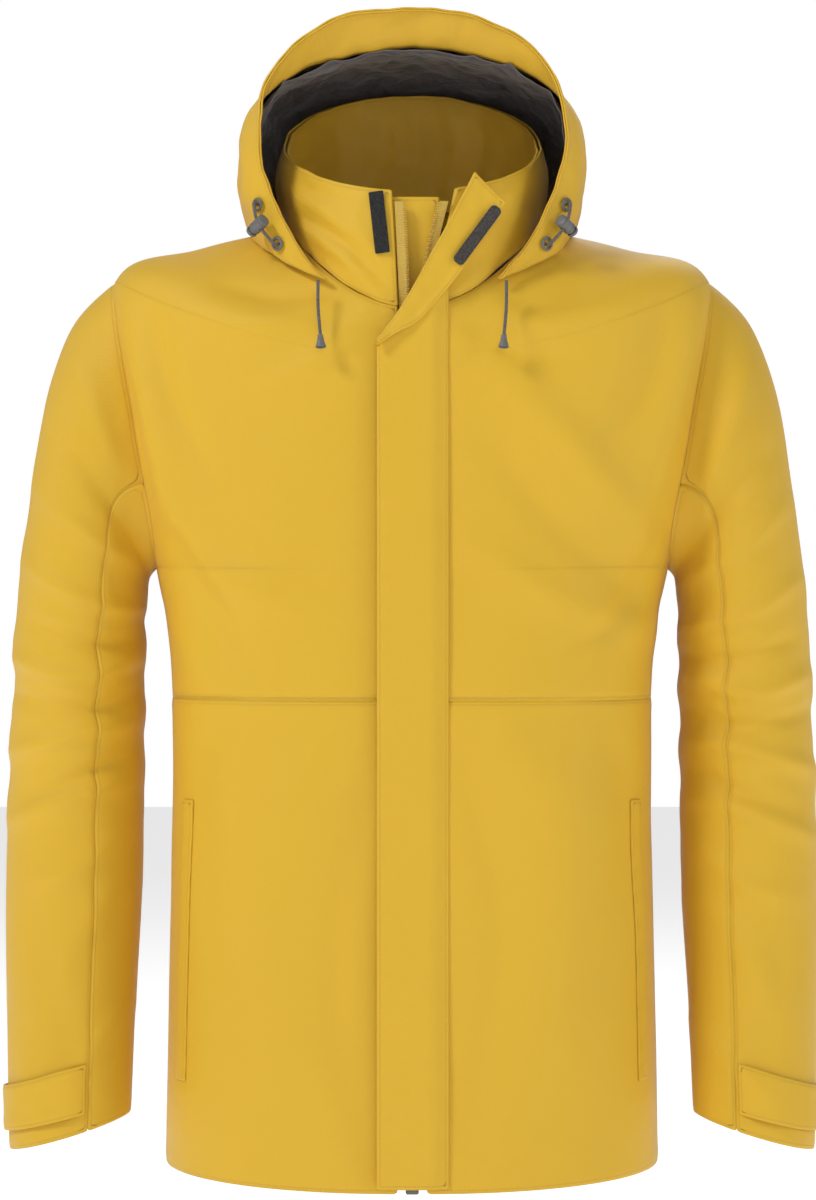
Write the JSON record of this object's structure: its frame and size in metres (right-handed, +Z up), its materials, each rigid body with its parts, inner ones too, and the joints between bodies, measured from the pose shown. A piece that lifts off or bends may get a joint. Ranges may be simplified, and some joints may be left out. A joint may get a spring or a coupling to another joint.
{
  "type": "hooded ski jacket",
  "caption": "Hip-length hooded waterproof ski jacket with a zip under a storm flap, two zipped pockets, cuff tabs and hood cords with locks.",
  "frame": {"origin": "the hanger loop's resting face, inside the back of the neck, where a coat hook bears", "axes": "+Z up with the jacket hanging, front faces -Y, +X towards the wearer's left"},
  "size_m": [0.6468, 0.2851, 0.9276],
  "materials": {
    "shell_cloth": "yellow woven waterproof polyester, matt",
    "lining_cloth": "dark grey taffeta, slightly shiny",
    "hook_tape": "black hook tape",
    "loop_tape": "dark grey loop pile",
    "zip_tape": "pale yellow woven tape with moulded teeth",
    "grey_plastic": "moulded mid grey plastic",
    "cord": "grey elastic cord with a woven cover"
  },
  "bodies": {
    "jacket": {"front_upper_left": "shell_cloth", "front_upper_right": "shell_cloth", "front_lower_left": "shell_cloth", "front_lower_right": "shell_cloth", "back_upper": "shell_cloth", "back_lower": "shell_cloth", "body_lining": "lining_cloth", "pocket_zip_left": "zip_tape", "pocket_zip_right": "zip_tape", "pocket_welt_left": "shell_cloth", "pocket_welt_right": "shell_cloth", "pocket_bag_left": "lining_cloth", "pocket_bag_right": "lining_cloth", "collar_outer": "shell_cloth", "collar_facing": "shell_cloth", "zip_half_left": "zip_tape", "zip_half_right": "zip_tape", "zip_box": "grey_plastic", "under_flap": "shell_cloth", "hook_patch_chest": "hook_tape", "hook_patch_collar": "hook_tape", "storm_flap_top": "shell_cloth", "loop_patch_collar": "loop_tape", "hanger_loop": "lining_cloth"},
    "storm_flap": {"storm_flap": "shell_cloth", "loop_patch_chest": "loop_tape"},
    "main_zip_slider": {"main_zip_slider": "grey_plastic"},
    "main_zip_pull": {"main_zip_pull": "grey_plastic"},
    "hood": {"hood_centre": "shell_cloth", "hood_side_left": "shell_cloth", "hood_side_right": "shell_cloth", "hood_facing": "shell_cloth", "hood_lining": "lining_cloth", "eyelet_upper_left": "grey_plastic", "eyelet_lower_left": "grey_plastic", "eyelet_upper_right": "grey_plastic", "eyelet_lower_right": "grey_plastic", "hood_cord_left": "cord", "hood_cord_right": "cord"},
    "sleeve_left": {"sleeve_upper_left": "shell_cloth", "sleeve_under_left": "shell_cloth", "sleeve_lining_left": "lining_cloth"},
    "cuff_tab_left": {"cuff_tab_left": "shell_cloth"},
    "pocket_slider_left": {"pocket_slider_left": "grey_plastic"},
    "pocket_pull_left": {"pocket_pull_left": "grey_plastic"},
    "cord_lock_left": {"cord_lock_left": "grey_plastic"},
    "lock_button_left": {"lock_button_left": "grey_plastic"},
    "cord_end_left": {"cord_end_left": "cord", "cord_bell_left": "grey_plastic"},
    "sleeve_right": {"sleeve_upper_right": "shell_cloth", "sleeve_under_right": "shell_cloth", "sleeve_lining_right": "lining_cloth"},
    "cuff_tab_right": {"cuff_tab_right": "shell_cloth"},
    "pocket_slider_right": {"pocket_slider_right": "grey_plastic"},
    "pocket_pull_right": {"pocket_pull_right": "grey_plastic"},
    "cord_lock_right": {"cord_lock_right": "grey_plastic"},
    "lock_button_right": {"lock_button_right": "grey_plastic"},
    "cord_end_right": {"cord_end_right": "cord", "cord_bell_right": "grey_plastic"}
  },
  "joints": [
    {"name": "hood_tilt", "type": "hinge", "parent": "jacket", "child": "hood", "pos_m": [0, 0.0391, -0.0185], "axis": [-1, 0, 0], "range_deg": [0, 60]},
    {"name": "sleeve_left_swing", "type": "hinge", "parent": "jacket", "child": "sleeve_left", "pos_m": [0.225, -0.0689, -0.1875], "axis": [-0.991, 0, 0.134], "range_deg": [-15, 60]},
    {"name": "sleeve_right_swing", "type": "hinge", "parent": "jacket", "child": "sleeve_right", "pos_m": [-0.225, -0.0689, -0.1875], "axis": [-0.991, 0, -0.134], "range_deg": [-15, 60]},
    {"name": "storm_flap_open", "type": "hinge", "parent": "jacket", "child": "storm_flap", "pos_m": [0.028, -0.20978, -0.45529], "axis": [0, 0.0325, 0.9995], "range_deg": [0, 150]},
    {"name": "main_zip_slide", "type": "slide", "parent": "jacket", "child": "main_zip_slider", "axis": [0, 0.0325, 0.9995], "range_m": [-0.6, 0]},
    {"name": "main_pull_swing", "type": "hinge", "parent": "main_zip_slider", "child": "main_zip_pull", "pos_m": [0, -0.19514, -0.15294], "axis": [0, -0.9995, 0.0325], "range_deg": [-20, 20]},
    {"name": "pocket_zip_left_slide", "type": "slide", "parent": "jacket", "child": "pocket_slider_left", "axis": [-0.0172, 0.0182, 0.9997], "range_m": [-0.18, 0]},
    {"name": "pocket_pull_left_swing", "type": "hinge", "parent": "pocket_slider_left", "child": "pocket_pull_left", "pos_m": [0.17404, -0.13994, -0.50369], "axis": [0.8779, -0.4782, 0.0238], "range_deg": [-15, 15]},
    {"name": "pocket_zip_right_slide", "type": "slide", "parent": "jacket", "child": "pocket_slider_right", "axis": [0.0172, 0.0182, 0.9997], "range_m": [-0.18, 0]},
    {"name": "pocket_pull_right_swing", "type": "hinge", "parent": "pocket_slider_right", "child": "pocket_pull_right", "pos_m": [-0.17404, -0.13994, -0.50369], "axis": [-0.8779, -0.4782, 0.0238], "range_deg": [-15, 15]},
    {"name": "cuff_tab_left_open", "type": "hinge", "parent": "sleeve_left", "child": "cuff_tab_left", "pos_m": [0.25114, -0.15458, -0.70615], "axis": [0.0035, -0.1569, -0.9876], "range_deg": [0, 75]},
    {"name": "cord_lock_left_slide", "type": "slide", "parent": "hood", "child": "cord_lock_left", "axis": [0.4272, 0.287, 0.8574], "range_m": [-0.003, 0.003]},
    {"name": "lock_button_left_press", "type": "slide", "parent": "cord_lock_left", "child": "lock_button_left", "axis": [-0.6135, -0.6046, 0.5081], "range_m": [0, 0.0017], "stiffness_N_per_m": 900, "springref_m": -0.001},
    {"name": "cord_end_left_swing", "type": "hinge", "parent": "hood", "child": "cord_end_left", "pos_m": [0.07185, -0.19578, -0.08264], "axis": [0, -1, 0], "range_deg": [-30, 30]},
    {"name": "cuff_tab_right_open", "type": "hinge", "parent": "sleeve_right", "child": "cuff_tab_right", "pos_m": [-0.25114, -0.15458, -0.70615], "axis": [0.0035, 0.1569, 0.9876], "range_deg": [0, 75]},
    {"name": "cord_lock_right_slide", "type": "slide", "parent": "hood", "child": "cord_lock_right", "axis": [-0.4272, 0.287, 0.8574], "range_m": [-0.003, 0.003]},
    {"name": "lock_button_right_press", "type": "slide", "parent": "cord_lock_right", "child": "lock_button_right", "axis": [0.6135, -0.6046, 0.5081], "range_m": [0, 0.0017], "stiffness_N_per_m": 900, "springref_m": -0.001},
    {"name": "cord_end_right_swing", "type": "hinge", "parent": "hood", "child": "cord_end_right", "pos_m": [-0.07222, -0.19578, -0.08266], "axis": [0, -1, 0], "range_deg": [-30, 30]}
  ]
}
